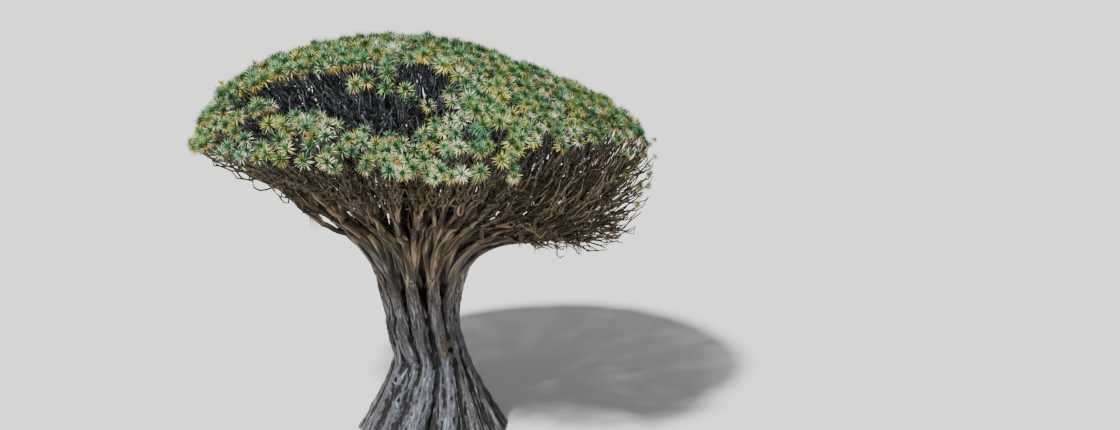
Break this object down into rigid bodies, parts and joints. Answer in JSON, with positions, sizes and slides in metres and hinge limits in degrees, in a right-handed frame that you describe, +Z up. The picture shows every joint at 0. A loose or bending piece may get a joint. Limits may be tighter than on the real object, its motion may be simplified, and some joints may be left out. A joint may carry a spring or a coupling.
{
  "type": "dragon blood tree",
  "caption": "Whole old dragon blood tree: fluted trunk on a flared foot, a bundle of boughs and a wide umbrella crown of twigs and leaf rosettes, bare on one side.",
  "frame": {"origin": "on level ground, in the middle of the flat cut under the trunk's foot", "axes": "+Z up the tree, +X towards the bare side of the crown, -Y towards the low step in the foliage, which is the side that the picture shows"},
  "size_m": [19.7575, 19.3546, 17.9104],
  "materials": {
    "bark": "rough grey-brown bark",
    "limb_bark": "rough warm brown bark",
    "foliage": "leathery leaves, satin"
  },
  "bodies": {
    "root": {"bough_crown": "limb_bark", "bough_inner_1": "limb_bark", "bough_inner_2": "limb_bark", "bough_inner_3": "limb_bark", "bough_inner_4": "limb_bark", "bough_inner_5": "limb_bark", "bough_inner_6": "limb_bark", "bough_outer_1": "limb_bark", "bough_outer_10": "limb_bark", "bough_outer_11": "limb_bark", "bough_outer_12": "limb_bark", "bough_outer_2": "limb_bark", "bough_outer_3": "limb_bark", "bough_outer_4": "limb_bark", "bough_outer_5": "limb_bark", "bough_outer_6": "limb_bark", "bough_outer_7": "limb_bark", "bough_outer_8": "limb_bark", "bough_outer_9": "limb_bark", "foliage_crown": "foliage", "foliage_inner_1": "foliage", "foliage_inner_2": "foliage", "foliage_inner_3": "foliage", "foliage_inner_4": "foliage", "foliage_inner_5": "foliage", "foliage_inner_6": "foliage", "foliage_outer_1": "foliage", "foliage_outer_10": "foliage", "foliage_outer_11": "foliage", "foliage_outer_12": "foliage", "foliage_outer_2": "foliage", "foliage_outer_3": "foliage", "foliage_outer_4": "foliage", "foliage_outer_5": "foliage", "foliage_outer_6": "foliage", "foliage_outer_7": "foliage", "foliage_outer_8": "foliage", "foliage_outer_9": "foliage", "trunk": "bark"}
  },
  "joints": []
}
